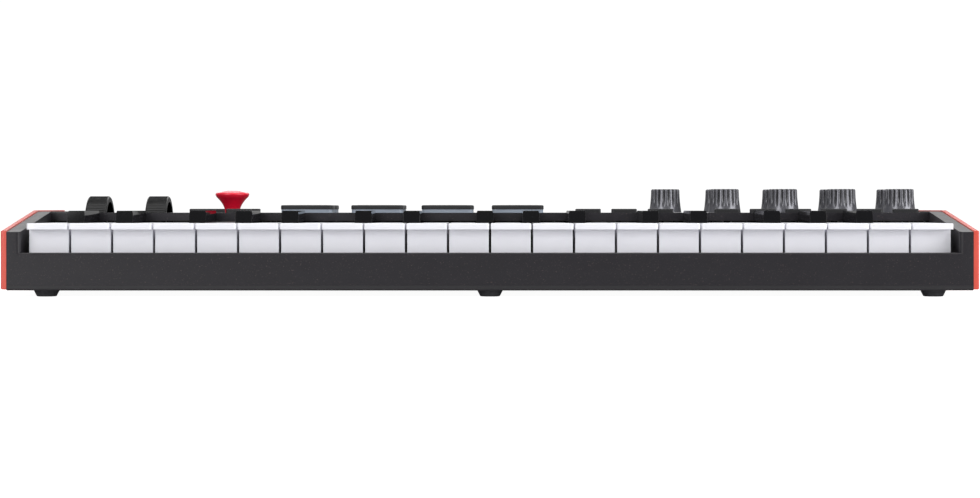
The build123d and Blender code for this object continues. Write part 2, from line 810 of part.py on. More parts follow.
def screw(x, y, bottom, top, radius, head_radius, head_height):
    body = post(x, y, bottom, bottom + head_height, head_radius)
    body += post(x, y, bottom + head_height / 2, top, radius)
    reach = head_radius * screw_slot
    half = screw_slot / 2
    return body - block(x - reach, x + reach, y - half, y + half, bottom - past, bottom + screw_slot)


def screws():
    large = (screw_radius, screw_head_radius, screw_head_height)
    small = (board_screw_radius, board_screw_head_radius, board_screw_head_height)
    made = []
    for x, y in front_bosses + side_bosses + rear_bosses:
        made.append(screw(x, y, foot_height, seam + screw_reach - past, *large))
    for x, y in frame_screws:
        made.append(screw(x, y, foot_height, frame_top + frame_boss_rise - 2 * past, *large))
    for x, y in board_posts:
        made.append(screw(x, y, board_under - board_screw_head_height, board_top + board_screw_reach, *small))
    return made


def save(name, shapes):
    shapes = shapes if isinstance(shapes, list) else [shapes]
    export_step(shapes[0] if len(shapes) == 1 else Compound(children=shapes), f"parts/{name}.step")


os.makedirs("parts", exist_ok=True)
for index in range(white_count):
    save(f"white_key_{index + 1:02d}", white_key(index))
black_boundaries = [i for i in range(1, white_count) if notes[i - 1] in black_offsets]
for number, index in enumerate(black_boundaries, 1):
    save(f"black_key_{number:02d}", black_key(index))
for number, (x, y) in enumerate(knob_spots, 1):
    save(f"knob_{number}", knob(x, y))
save("encoder_knob", knob(*encoder_spot))
save("pitch_wheel", thumb_wheel(wheel_insets[0]))
save("mod_wheel", thumb_wheel(wheel_insets[1]))
save("joystick", joystick())
save("joystick_gimbal", joystick_gimbal())
save("drum_pads", drum_pads())
save("panel_buttons", button_strips())
save("top_housing", top_housing())
save("bottom_cover", bottom_cover())
save("end_cheeks", [end_cheek(-1), end_cheek(1)])
save("key_chassis", key_chassis())
pots = [pot(x, y) for x, y in knob_spots + [encoder_spot]]
save("circuit_board", [main_board(), display(), *contact_strip(), *pots])
save("rear_sockets", rear_sockets())
save("rubber_feet", [rubber_foot(x, y) for x, y in feet])
save("screws", screws())
print(f"key travel angle {key_angle:.2f} degrees")
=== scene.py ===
import json
import math

import bmesh
import bpy
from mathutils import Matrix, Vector


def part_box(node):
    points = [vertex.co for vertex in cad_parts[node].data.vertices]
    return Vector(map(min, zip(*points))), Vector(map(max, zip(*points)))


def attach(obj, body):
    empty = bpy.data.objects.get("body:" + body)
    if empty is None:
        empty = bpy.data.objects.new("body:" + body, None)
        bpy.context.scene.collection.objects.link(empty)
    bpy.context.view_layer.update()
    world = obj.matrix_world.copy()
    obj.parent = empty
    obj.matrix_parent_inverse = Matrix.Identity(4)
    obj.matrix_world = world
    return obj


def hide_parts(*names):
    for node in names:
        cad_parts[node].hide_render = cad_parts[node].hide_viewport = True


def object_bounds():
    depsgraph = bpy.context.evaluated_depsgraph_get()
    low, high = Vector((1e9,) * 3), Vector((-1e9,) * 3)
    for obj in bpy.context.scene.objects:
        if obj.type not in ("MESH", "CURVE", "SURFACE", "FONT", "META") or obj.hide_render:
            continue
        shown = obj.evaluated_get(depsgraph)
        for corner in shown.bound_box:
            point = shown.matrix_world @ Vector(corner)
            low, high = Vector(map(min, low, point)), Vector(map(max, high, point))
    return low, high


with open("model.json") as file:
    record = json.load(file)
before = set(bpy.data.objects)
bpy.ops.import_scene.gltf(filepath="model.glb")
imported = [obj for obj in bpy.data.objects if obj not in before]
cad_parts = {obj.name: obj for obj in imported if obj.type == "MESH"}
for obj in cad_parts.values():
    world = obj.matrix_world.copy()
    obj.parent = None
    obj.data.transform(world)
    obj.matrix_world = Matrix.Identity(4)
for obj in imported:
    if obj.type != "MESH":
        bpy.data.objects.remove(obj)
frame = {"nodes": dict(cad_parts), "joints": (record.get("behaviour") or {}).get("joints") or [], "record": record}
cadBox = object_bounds()
nodes = frame["nodes"]
record = frame["record"]
bodies = record["behaviour"]["bodies"]
bodyOf = {node: body for body, members in bodies.items() for node in members}
joints = {joint["name"]: joint for joint in frame["joints"]}
scene = bpy.context.scene
low, high = cadBox


def mm(value):
    return value * 0.001


def box(node):
    a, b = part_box(node)
    return Vector(a), Vector(b)


def newObject(name, mesh):
    made = bpy.data.objects.new(name, mesh)
    scene.collection.objects.link(made)
    return made


def meshObject(name, points, faces, smooth=35.0):
    mesh = bpy.data.meshes.new(name)
    mesh.from_pydata([tuple(p) for p in points], [], faces)
    mesh.update()
    made = newObject(name, mesh)
    shade(mesh, smooth)
    return made


def shade(mesh, angle):
    mesh.polygons.foreach_set("use_smooth", [True] * len(mesh.polygons))
    mesh.set_sharp_from_angle(angle=math.radians(angle))
    mesh.update()


def applied(obj):
    # the evaluated result becomes the object's own plain mesh
    bpy.context.view_layer.update()
    graph = bpy.context.evaluated_depsgraph_get()
    mesh = bpy.data.meshes.new_from_object(obj.evaluated_get(graph), depsgraph=graph)
    obj.modifiers.clear()
    obj.data = mesh
    return obj


def finishPiece(obj, material, body, slot, *replaced):
    if material is not None:
        obj.data.materials.clear()
        obj.data.materials.append(material)
    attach(obj, body)
    if replaced:
        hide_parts(*replaced)
    return obj


shellRules = {"weld": 1e-6, "sliver": 1e-7, "flat": math.radians(0.8), "corner": math.radians(32.0)}


def softened(node, width, segments=2):
    # a copy of a part with its triangles merged into flat faces and its edges rounded
    source = nodes[node].data
    shape = bmesh.new()
    verts = [shape.verts.new(vertex.co) for vertex in source.vertices]
    for polygon in source.polygons:
        corners = [verts[i] for i in polygon.vertices]
        if shape.faces.get(corners) is None:
            shape.faces.new(corners)
    bmesh.ops.remove_doubles(shape, verts=shape.verts[:], dist=shellRules["weld"])
    bmesh.ops.dissolve_degenerate(shape, dist=shellRules["sliver"], edges=shape.edges[:])
    bmesh.ops.dissolve_limit(shape, angle_limit=shellRules["flat"], verts=shape.verts[:],
                             edges=shape.edges[:])
    mesh = bpy.data.meshes.new(node + "Shell")
    shape.to_mesh(mesh)
    shape.free()
    made = newObject(mesh.name, mesh)
    mesh.polygons.foreach_set("use_smooth", [True] * len(mesh.polygons))
    bevel = made.modifiers.new("edges", "BEVEL")
    bevel.width = width
    bevel.segments = segments
    bevel.limit_method = "ANGLE"
    bevel.angle_limit = shellRules["corner"]
    bevel.use_clamp_overlap = True
    bevel.harden_normals = True
    return applied(made)


def paintIslands(obj, choose):
    # each loose part of a mesh gets the finish that choose names from its two corners
    mesh = obj.data
    parent = list(range(len(mesh.vertices)))

    def rootOf(i):
        while parent[i] != i:
            parent[i] = parent[parent[i]]
            i = parent[i]
        return i

    for edge in mesh.edges:
        a, b = rootOf(edge.vertices[0]), rootOf(edge.vertices[1])
        parent[a] = b
    corners = {}
    for vertex in mesh.vertices:
        key = rootOf(vertex.index)
        a, b = corners.get(key, (vertex.co, vertex.co))
        corners[key] = (Vector(map(min, a, vertex.co)), Vector(map(max, b, vertex.co)))
    chosen = {key: choose(a, b) for key, (a, b) in corners.items()}
    used = sorted(set(chosen.values()))
    mesh.materials.clear()
    for name in used:
        mesh.materials.append(finishes[name])
    for polygon in mesh.polygons:
        polygon.material_index = used.index(chosen[rootOf(polygon.vertices[0])])
    return obj


def lathe(name, profile, centre, steps=96):
    # a turned shape about a vertical line, from (radius, height) points that begin and end on it
    points, faces = [], []
    rings = []
    for radius, height in profile:
        if radius < 1e-7:
            rings.append([len(points)])
            points.append(centre + Vector((0, 0, height)))
            continue
        start = len(points)
        for i in range(steps):
            turn = 2 * math.pi * i / steps
            x, y = radius * math.cos(turn), radius * math.sin(turn)
            points.append(centre + Vector((x, y, height)))
        rings.append(list(range(start, start + steps)))
    for lower, upper in zip(rings, rings[1:]):
        for i in range(steps):
            j = (i + 1) % steps
            if len(lower) == 1:
                faces.append((lower[0], upper[j], upper[i]))
            elif len(upper) == 1:
                faces.append((lower[i], lower[j], upper[0]))
            else:
                faces.append((lower[i], lower[j], upper[j], upper[i]))
    return meshObject(name, points, faces)


def joined(name, pieces):
    # several mesh objects made one
    shape = bmesh.new()
    for piece in pieces:
        shape.from_mesh(piece.data)
        bpy.data.objects.remove(piece)
    mesh = bpy.data.meshes.new(name)
    shape.to_mesh(mesh)
    shape.free()
    return newObject(name, mesh)


def roundedPrism(name, centre, width, depth, bottom, top, corner, edge, crown=0.0, steps=6, rings=4):
    # a flat-topped block with round corners and a rolled top edge; crown lifts the middle a little
    def outline(inset, height):
        w, d, r = width / 2 - inset, depth / 2 - inset, max(corner - inset, edge * 0.2)
        quarters = ((w - r, d - r, 0), (-w + r, d - r, 90), (-w + r, -d + r, 180), (w - r, -d + r, 270))
        ring = []
        for cx, cy, start in quarters:
            for k in range(steps + 1):
                turn = math.radians(start + 90 * k / steps)
                ring.append(Vector((centre.x + cx + r * math.cos(turn),
                                    centre.y + cy + r * math.sin(turn), height)))
        return ring

    levels = [outline(0, bottom), outline(0, top - edge)]
    for k in range(1, rings + 1):
        turn = math.pi / 2 * k / rings
        levels.append(outline(edge * (1 - math.cos(turn)), top - edge + edge * math.sin(turn)))
    levels.append(outline(edge + min(width, depth) * 0.12, top + crown * 0.6))
    points = [p for level in levels for p in level]
    n = len(levels[0])
    faces = []
    for k in range(len(levels) - 1):
        for i in range(n):
            j = (i + 1) % n
            faces.append((k * n + i, k * n + j, (k + 1) * n + j, (k + 1) * n + i))
    last = (len(levels) - 1) * n
    points.append(Vector((centre.x, centre.y, top + crown)))
    for i in range(n):
        faces.append((last + i, last + (i + 1) % n, len(points) - 1))
    faces.append(tuple(reversed(range(n))))
    return meshObject(name, points, faces, 40.0)


def groupTree(name, inputs, outputs):
    tree = bpy.data.node_groups.new(name, "ShaderNodeTree")
    for label, value in inputs:
        socket = tree.interface.new_socket(label, in_out="INPUT", socket_type="NodeSocketFloat")
        socket.default_value = value
    for label, kind in outputs:
        tree.interface.new_socket(label, in_out="OUTPUT", socket_type=kind)
    return tree, tree.nodes.new("NodeGroupInput"), tree.nodes.new("NodeGroupOutput")


def mathNode(tree, operation, a, b=None, c=None, clamp=False):
    made = tree.nodes.new("ShaderNodeMath")
    made.operation = operation
    made.use_clamp = clamp
    for socket, value in zip(made.inputs, (a, b, c)):
        if value is None:
            continue
        if isinstance(value, (int, float)):
            socket.default_value = value
        else:
            tree.links.new(value, socket)
    return made.outputs[0]


def noiseNode(tree, vector, scale, detail=3.0, roughness=0.55):
    made = tree.nodes.new("ShaderNodeTexNoise")
    made.inputs["Detail"].default_value = detail
    made.inputs["Roughness"].default_value = roughness
    tree.links.new(vector, made.inputs["Vector"])
    if isinstance(scale, (int, float)):
        made.inputs["Scale"].default_value = scale
    else:
        tree.links.new(scale, made.inputs["Scale"])
    return made.outputs["Fac"]


def buildGrain():
    # moulded texture: Height for a bump, Speck for tiny light dots of painted reflection, Cloud for slow changes
    tree, start, end = groupTree(
        "mouldedGrain", [("Fineness", 2600.0), ("Cloudiness", 60.0)],
        [("Height", "NodeSocketFloat"), ("PaintedGlint", "NodeSocketFloat"), ("Cloud", "NodeSocketFloat")])
    place = tree.nodes.new("ShaderNodeTexCoord").outputs["Object"]
    fine = noiseNode(tree, place, start.outputs["Fineness"], 2.0)
    wide = noiseNode(tree, place, start.outputs["Cloudiness"], 4.0)
    tree.links.new(fine, end.inputs["Height"])
    paintedGlint = mathNode(tree, "MULTIPLY", mathNode(tree, "SUBTRACT", fine, 0.62), 7.0, clamp=True)
    tree.links.new(paintedGlint, end.inputs["PaintedGlint"])
    tree.links.new(mathNode(tree, "MULTIPLY_ADD", wide, 2.2, -0.6, clamp=True), end.inputs["Cloud"])
    return tree


def buildWear():
    # paler edges where hands touch: Mask from how sharply the surface bends, broken by noise
    tree, start, end = groupTree("edgeWear", [("Reach", 9.0), ("Breaks", 240.0)],
                                 [("Mask", "NodeSocketFloat")])
    place = tree.nodes.new("ShaderNodeTexCoord").outputs["Object"]
    bend = tree.nodes.new("ShaderNodeNewGeometry").outputs["Pointiness"]
    broken = noiseNode(tree, place, start.outputs["Breaks"], 4.0)
    edge = mathNode(tree, "SUBTRACT", bend, 0.52)
    edge = mathNode(tree, "MULTIPLY", edge, start.outputs["Reach"], clamp=True)
    tree.links.new(mathNode(tree, "MULTIPLY", edge, broken, clamp=True), end.inputs["Mask"])
    return tree


def buildTouch():
    # finger marks and dust in the roughness
    tree, start, end = groupTree("touchMarks", [("Size", 55.0), ("Amount", 0.5)],
                                 [("Mask", "NodeSocketFloat")])
    place = tree.nodes.new("ShaderNodeTexCoord").outputs["Object"]
    blots = noiseNode(tree, place, start.outputs["Size"], 5.0, 0.6)
    streaks = noiseNode(tree, place, 900.0, 2.0)
    both = mathNode(tree, "MULTIPLY", blots, mathNode(tree, "MULTIPLY_ADD", streaks, 0.5, 0.75))
    both = mathNode(tree, "MULTIPLY_ADD", both, 2.6, -0.9, clamp=True)
    both = mathNode(tree, "MULTIPLY", both, start.outputs["Amount"])
    tree.links.new(both, end.inputs["Mask"])
    return tree


grainGroup, wearGroup, touchGroup = buildGrain(), buildWear(), buildTouch()


def linear(red, green, blue):
    # a colour as seen on a screen, 0 to 255, to the renderer's own scale
    seen = [value / 255 for value in (red, green, blue)]
    return tuple(((v + 0.055) / 1.055) ** 2.4 if v > 10 / 255 else v / 12.92 for v in seen)


def plasticMaterial(name, colour, roughness, grain=0.0, fineness=2600.0, bump=0.00002, wear=0.0,
                    wearColour=None, paintedGlint=0.0, paintedGlintColour=None, cloud=0.06, touch=0.08, coat=0.0,
                    ior=1.5, subsurface=0.0, sheen=0.0, metal=0.0, grooveDepthAndShade=0.0):
    made = bpy.data.materials.new(name)
    made.use_nodes = True
    tree = made.node_tree
    shader = tree.nodes["Principled BSDF"]
    texture = tree.nodes.new("ShaderNodeGroup")
    texture.node_tree = grainGroup
    texture.inputs["Fineness"].default_value = fineness
    edges = tree.nodes.new("ShaderNodeGroup")
    edges.node_tree = wearGroup
    marks = tree.nodes.new("ShaderNodeGroup")
    marks.node_tree = touchGroup
    marks.inputs["Amount"].default_value = touch

    def mix(amount, first, second):
        node = tree.nodes.new("ShaderNodeMix")
        node.data_type = "RGBA"
        tree.links.new(amount, node.inputs["Factor"])
        firstColour, secondColour, mixedColour = node.inputs[6], node.inputs[7], node.outputs[2]
        for socket, value in ((firstColour, first), (secondColour, second)):
            if isinstance(value, tuple):
                socket.default_value = (*value, 1.0)
            else:
                tree.links.new(value, socket)
        return mixedColour

    dark = tuple(c * (1 - cloud) for c in colour)
    light = tuple(min(1.0, c * (1 + cloud)) for c in colour)
    tone = mix(texture.outputs["Cloud"], dark, light)
    # painted reflection: light warm dots mixed into the colour where the fine grain peaks, standing in for grazing
    # glints
    if paintedGlint:
        amount = mathNode(tree, "MULTIPLY", texture.outputs["PaintedGlint"], paintedGlint)
        tone = mix(amount, tone, paintedGlintColour)
    if wear:
        amount = mathNode(tree, "MULTIPLY", edges.outputs["Mask"], wear, clamp=True)
        paler = tuple(min(1.0, c * 1.8 + 0.02) for c in colour)
        tone = mix(amount, tone, wearColour or paler)
    # painted shade: the flute valleys are darkened toward near-black, more the deeper they lie
    if grooveDepthAndShade:
        depth = tree.nodes.new("ShaderNodeAttribute")
        depth.attribute_name = "grooveDepthAndShade"
        amount = mathNode(tree, "POWER", depth.outputs["Fac"], 0.6)
        amount = mathNode(tree, "MULTIPLY", amount, grooveDepthAndShade, clamp=True)
        tone = mix(amount, tone, linear(14, 14, 17))
    tree.links.new(tone, shader.inputs["Base Color"])
    rough = mathNode(tree, "MULTIPLY_ADD", texture.outputs["Height"], grain * 0.3,
                     roughness - grain * 0.15)
    rough = mathNode(tree, "ADD", rough, marks.outputs["Mask"], clamp=True)
    tree.links.new(rough, shader.inputs["Roughness"])
    if grain:
        relief = tree.nodes.new("ShaderNodeBump")
        relief.inputs["Strength"].default_value = grain
        relief.inputs["Distance"].default_value = bump
        tree.links.new(texture.outputs["Height"], relief.inputs["Height"])
        tree.links.new(relief.outputs["Normal"], shader.inputs["Normal"])
    shader.inputs["IOR"].default_value = ior
    shader.inputs["Metallic"].default_value = metal
    shader.inputs["Coat Weight"].default_value = coat
    shader.inputs["Coat Roughness"].default_value = 0.08
    if subsurface:
        shader.inputs["Subsurface Weight"].default_value = subsurface
        shader.inputs["Subsurface Radius"].default_value = (0.4, 0.4, 0.4)
        shader.inputs["Subsurface Scale"].default_value = 0.003
    if sheen:
        shader.inputs["Sheen Weight"].default_value = sheen
        shader.inputs["Sheen Roughness"].default_value = 0.4
    return made


finishes = {
    # the casing's light warm dots are painted reflection of grazing light on its fine texture
    "casing": plasticMaterial("texturedCasing", linear(30, 28, 33), 0.38, 0.4, 1500.0, 0.00002,
                              0.15,
                              paintedGlint=0.35, paintedGlintColour=linear(112, 96, 92), touch=0.08, ior=1.42),
    "cover": plasticMaterial("coverPlastic", linear(36, 35, 38), 0.45, 0.3, 1500.0, 0.00002,
                             0.15, touch=0.08,
                             ior=1.45),
    "cheek": plasticMaterial("redCheek", linear(211, 75, 58), 0.34, 0.12, 2200.0, 0.00001, 0.2,
                             wearColour=linear(240, 130, 120), cloud=0.03, coat=0.2),
    "ivory": plasticMaterial("whiteKeyPlastic", linear(240, 240, 246), 0.2, 0.04, 700.0, 0.00001,
                             cloud=0.012, touch=0.05, coat=0.3, subsurface=0.1),
    "ebony": plasticMaterial("blackKeyPlastic", linear(11, 11, 14), 0.08, cloud=0.08, touch=0.02,
                             ior=1.4),
    # the knob's flute valleys carry painted shade, darker the deeper they are
    "knob": plasticMaterial("knobLacquer", linear(108, 108, 114), 0.3, cloud=0.05, touch=0.03,
                            coat=0.15, metal=0.45,
                            grooveDepthAndShade=0.95),
    "wheel": plasticMaterial("wheelRubber", linear(4, 4, 5), 0.32, 0.3, 2600.0, 0.00003,
                             touch=0.1, ior=1.36),
    "stick": plasticMaterial("stickRubber", linear(228, 20, 52), 0.3, 0.12, 2400.0, 0.00001,
                             cloud=0.04, touch=0.05, coat=0.1, subsurface=0.1),
    "pad": plasticMaterial("padRubber", linear(22, 23, 25), 0.55, 0.6, 1800.0, 0.00003, 0.1,
                           wearColour=linear(120, 124, 134), touch=0.12, sheen=0.1),
    "skirt": plasticMaterial("padGlowSkirt", linear(164, 174, 188), 0.4, 0.2, 1800.0, 0.00002,
                             touch=0.05,
                             subsurface=0.5),
    "button": plasticMaterial("buttonRubber", linear(28, 28, 31), 0.5, 0.4, 1800.0, 0.00003, 0.1,
                              wearColour=linear(110, 112, 120), touch=0.1),
    "frame": plasticMaterial("redFrame", linear(120, 14, 22), 0.5, 0.2, touch=0.1),
    "felt": plasticMaterial("redFelt", linear(150, 16, 26), 0.95, 1.0, 2200.0, 0.0002,
                            cloud=0.25, sheen=0.6),
    "foot": plasticMaterial("footRubber", linear(86, 86, 90), 0.8, 0.7, 1400.0, 0.00006,
                            touch=0.1),
    "board": plasticMaterial("boardGreen", linear(16, 70, 40), 0.42, 0.3, 900.0, cloud=0.15,
                             coat=0.3),
    "socket": plasticMaterial("socketPlastic", linear(28, 28, 30), 0.45, 0.3, 1600.0, wear=0.2),
    "metal": plasticMaterial("socketMetal", linear(190, 190, 192), 0.28, 0.15, 1400.0, metal=1.0,
                             wear=0.15),
    "screw": plasticMaterial("blackZinc", linear(60, 60, 62), 0.34, 0.25, 1200.0, metal=1.0,
                             wear=0.5,
                             wearColour=linear(150, 150, 150)),
    "glass": plasticMaterial("displayGlass", linear(8, 9, 11), 0.06, cloud=0.02, touch=0.05,
                             coat=1.0),
    "mark": plasticMaterial("panelInk", linear(205, 205, 208), 0.5, 0.2, cloud=0.04),
    "glow": plasticMaterial("displayGlow", linear(225, 235, 245), 0.4, cloud=0.02),
    "gimbal": plasticMaterial("gimbalPlastic", linear(40, 40, 42), 0.4, 0.2),
}
print("built", len(finishes), "materials")


casing = {"edge": mm(0.3), "coverEdge": mm(0.25), "cheekEdge": mm(0.2), "footEdge": mm(0.5),
          "screwEdge": mm(0.12)}
root = bodyOf["top_housing"]


def makeShell(node, edge, finish, slot, segments=2):
    made = softened(node, edge, segments)
    return finishPiece(made, finishes[finish], bodyOf[node], slot, node)


makeShell("top_housing", casing["edge"], "casing", "casing")
makeShell("bottom_cover", casing["coverEdge"], "cover", "cover")
makeShell("end_cheeks", casing["cheekEdge"], "cheek", "cheek")
makeShell("rubber_feet", casing["footEdge"], "foot", "foot", segments=3)
makeShell("screws", casing["screwEdge"], "screw", "screw")
print("casing done")


keyShape = {"whiteEdge": mm(0.3), "blackEdge": mm(0.3)}
for node in sorted(nodes):
    if node.startswith("white_key"):
        makeShell(node, keyShape["whiteEdge"], "ivory", "white_key", segments=3)
    if node.startswith("black_key"):
        makeShell(node, keyShape["blackEdge"], "ebony", "black_key", segments=3)
print("keys done")


def repeatTree(name, inputs):
    tree = bpy.data.node_groups.new(name, "GeometryNodeTree")
    kinds = {"float": "NodeSocketFloat", "int": "NodeSocketInt", "material": "NodeSocketMaterial",
             "vector": "NodeSocketVector"}
    tree.interface.new_socket("Geometry", in_out="INPUT", socket_type="NodeSocketGeometry")
    for label, kind in inputs:
        tree.interface.new_socket(label, in_out="INPUT", socket_type=kinds[kind])
    tree.interface.new_socket("Geometry", in_out="OUTPUT", socket_type="NodeSocketGeometry")
    return tree, tree.nodes.new("NodeGroupInput"), tree.nodes.new("NodeGroupOutput")


def runTree(name, tree, values):
    mesh = bpy.data.meshes.new(name)
    made = newObject(name, mesh)
    modifier = made.modifiers.new("made", "NODES")
    modifier.node_group = tree
    sockets = {s.name: s.identifier for s in tree.interface.items_tree if s.in_out == "INPUT"}
    for label, value in values.items():
        modifier[sockets[label]] = value
    return applied(made)


def combine(tree, x, y, z):
    made = tree.nodes.new("ShaderNodeCombineXYZ")
    for socket, value in zip(made.inputs, (x, y, z)):
        if isinstance(value, (int, float)):
            socket.default_value = value
        else:
            tree.links.new(value, socket)
    return made.outputs[0]


def paintedEnd(tree, geometry, material, end):
    # real geometry with its material, out of the tree
    whole = tree.nodes.new("GeometryNodeRealizeInstances")
    tree.links.new(geometry, whole.inputs[0])
    paint = tree.nodes.new("GeometryNodeSetMaterial")
    tree.links.new(whole.outputs[0], paint.inputs["Geometry"])
    tree.links.new(material, paint.inputs["Material"])
    tree.links.new(paint.outputs[0], end.inputs[0])


panelTop = box("top_housing")[1].z - mm(0.7)  # the end rails stand 0.7 mm above the panel
knobShape = {"flutes": 18.0, "fluteDepth": mm(0.7), "topRadius": mm(8.0), "panelGap": mm(0.12),
             "rim": 0.0009, "dish": 0.0003, "columns": 505, "rows": 30, "weld": 0.000004,
             "shade": 80.0}
# shares of the grid's length: up the side, over the rim, then across the top
knobRun = {"side": 0.72, "rim": 0.12, "topStart": 0.84, "top": 0.16,
           "fluteStart": 0.26, "fluteFade": 0.42}
knobCurve = {"flare": 1.9, "valley": 2.2, "fade": 0.7, "calm": 3.0, "dish": 0.5}


def buildKnobTree():
    # a turned skin whose flutes fade out above its base, rolled over into a dished top
    names = [("Centre", "vector"), ("BaseRadius", "float"), ("TopRadius", "float"), ("Height", "float"),
             ("Flutes", "float"), ("FluteDepth", "float"), ("Material", "material")]
    tree, start, end = repeatTree("flutedKnob", names)
    value = start.outputs
    grid = tree.nodes.new("GeometryNodeMeshGrid")
    grid.inputs["Size X"].default_value = 1.0
    grid.inputs["Size Y"].default_value = 1.0
    grid.inputs["Vertices X"].default_value = knobShape["columns"]
    grid.inputs["Vertices Y"].default_value = knobShape["rows"]
    place = tree.nodes.new("GeometryNodeInputPosition").outputs[0]
    split = tree.nodes.new("ShaderNodeSeparateXYZ")
    tree.links.new(place, split.inputs[0])
    turn = mathNode(tree, "MULTIPLY", split.outputs[0], 2 * math.pi)
    along = mathNode(tree, "ADD", split.outputs[1], 0.5)
    # each of these goes from 0 to 1 along its own stretch of the grid
    side = mathNode(tree, "MULTIPLY", along, 1 / knobRun["side"], clamp=True)
    roll = mathNode(tree, "SUBTRACT", along, knobRun["side"])
    roll = mathNode(tree, "MULTIPLY", roll, 1 / knobRun["rim"], clamp=True)
    inward = mathNode(tree, "SUBTRACT", along, knobRun["topStart"])
    inward = mathNode(tree, "MULTIPLY", inward, 1 / knobRun["top"], clamp=True)
    flare = mathNode(tree, "POWER", mathNode(tree, "SUBTRACT", 1.0, side), knobCurve["flare"])
    spread = mathNode(tree, "SUBTRACT", value["BaseRadius"], value["TopRadius"])
    wall = mathNode(tree, "MULTIPLY_ADD", flare, spread, value["TopRadius"])
    valley = mathNode(tree, "COSINE", mathNode(tree, "MULTIPLY", turn, value["Flutes"]))
    valley = mathNode(tree, "MULTIPLY_ADD", valley, 0.5, 0.5)
    valley = mathNode(tree, "POWER", valley, knobCurve["valley"])
    fade = mathNode(tree, "SUBTRACT", side, knobRun["fluteStart"])
    fade = mathNode(tree, "MULTIPLY", fade, 1 / knobRun["fluteFade"], clamp=True)
    fade = mathNode(tree, "POWER", fade, knobCurve["fade"])
    calm = mathNode(tree, "MULTIPLY", inward, knobCurve["calm"], clamp=True)
    calm = mathNode(tree, "SUBTRACT", 1.0, calm)
    grooveDepthAndShade = mathNode(tree, "MULTIPLY", mathNode(tree, "MULTIPLY", valley, fade), calm)
    wall = mathNode(tree, "SUBTRACT", wall, mathNode(tree, "MULTIPLY", grooveDepthAndShade, value["FluteDepth"]))
    rim = knobShape["rim"]
    angle = mathNode(tree, "MULTIPLY", roll, math.pi / 2)
    tuck = mathNode(tree, "MULTIPLY_ADD", mathNode(tree, "COSINE", angle), -rim, rim)
    wall = mathNode(tree, "SUBTRACT", wall, tuck)
    radius = mathNode(tree, "MULTIPLY", wall, mathNode(tree, "SUBTRACT", 1.0, inward))
    climb = mathNode(tree, "MULTIPLY", side, mathNode(tree, "SUBTRACT", value["Height"], rim))
    dish = mathNode(tree, "POWER", inward, knobCurve["dish"])
    dish = mathNode(tree, "MULTIPLY", dish, -knobShape["dish"])
    height = mathNode(tree, "MULTIPLY_ADD", mathNode(tree, "SINE", angle), rim, climb)
    height = mathNode(tree, "ADD", height, dish)
    spot = combine(tree, mathNode(tree, "MULTIPLY", radius, mathNode(tree, "COSINE", turn)),
                   mathNode(tree, "MULTIPLY", radius, mathNode(tree, "SINE", turn)), height)
    shift = tree.nodes.new("ShaderNodeVectorMath")
    tree.links.new(spot, shift.inputs[0])
    tree.links.new(value["Centre"], shift.inputs[1])
    keep = tree.nodes.new("GeometryNodeStoreNamedAttribute")  # how deep in a flute, for the painted shade in the valleys
    keep.inputs["Name"].default_value = "grooveDepthAndShade"
    tree.links.new(grid.outputs["Mesh"], keep.inputs["Geometry"])
    tree.links.new(grooveDepthAndShade, keep.inputs["Value"])
    bend = tree.nodes.new("GeometryNodeSetPosition")
    tree.links.new(keep.outputs[0], bend.inputs["Geometry"])
    tree.links.new(shift.outputs[0], bend.inputs["Position"])
    weld = tree.nodes.new("GeometryNodeMergeByDistance")
    weld.inputs["Distance"].default_value = knobShape["weld"]
    tree.links.new(bend.outputs[0], weld.inputs["Geometry"])
    paintedEnd(tree, weld.outputs[0], value["Material"], end)
    return tree


knobTree = buildKnobTree()
pointer = {"offset": mm(4.6), "width": mm(0.9), "length": mm(4.4), "depth": mm(0.6), "below": mm(0.02),
           "corner": mm(0.4), "edge": mm(0.05)}


def makeKnob(node):
    a, b = box(node)
    base = panelTop + knobShape["panelGap"]
    centre = Vector(((a.x + b.x) / 2, (a.y + b.y) / 2, base))
    skin = runTree(node + "Skin", knobTree, {
        "Centre": centre, "BaseRadius": (b.x - a.x) / 2, "TopRadius": knobShape["topRadius"],
        "Height": b.z - base, "Flutes": knobShape["flutes"], "FluteDepth": knobShape["fluteDepth"],
        "Material": finishes["knob"]})
    shade(skin.data, knobShape["shade"])
    # a pointer line inlaid in the top
    spot = Vector((centre.x, centre.y + pointer["offset"], 0))
    line = roundedPrism(node + "Pointer", spot, pointer["width"], pointer["length"],
                        b.z - pointer["depth"], b.z - pointer["below"], pointer["corner"],
                        pointer["edge"], steps=3, rings=1)
    finishPiece(skin, None, bodyOf[node], "knob", node)
    finishPiece(line, finishes["mark"], bodyOf[node], "knob")


for node in sorted(nodes):
    if node.startswith("knob") or node == "encoder_knob":
        makeKnob(node)
print("knobs done")


def buildRibTree():
    # ribs set around a wheel's tread, each a small rounded bar along the axle
    names = [("Centre", "vector"), ("Radius", "float"), ("Count", "int"), ("Length", "float"),
             ("Thickness", "float"), ("Material", "material")]
    tree, start, end = repeatTree("treadRibs", names)
    value = start.outputs
    ring = tree.nodes.new("GeometryNodeMeshCircle")
    tree.links.new(value["Count"], ring.inputs["Vertices"])
    tree.links.new(value["Radius"], ring.inputs["Radius"])
    bar = tree.nodes.new("GeometryNodeMeshCylinder")
    bar.inputs["Vertices"].default_value = 6
    tree.links.new(value["Thickness"], bar.inputs["Radius"])
    tree.links.new(value["Length"], bar.inputs["Depth"])
    spread = tree.nodes.new("GeometryNodeInstanceOnPoints")
    tree.links.new(ring.outputs["Mesh"], spread.inputs["Points"])
    tree.links.new(bar.outputs["Mesh"], spread.inputs["Instance"])
    turn = tree.nodes.new("GeometryNodeTransform")
    turn.inputs["Rotation"].default_value = (0, math.pi / 2, 0)
    tree.links.new(spread.outputs[0], turn.inputs["Geometry"])
    tree.links.new(value["Centre"], turn.inputs["Translation"])
    paintedEnd(tree, turn.outputs[0], value["Material"], end)
    return tree


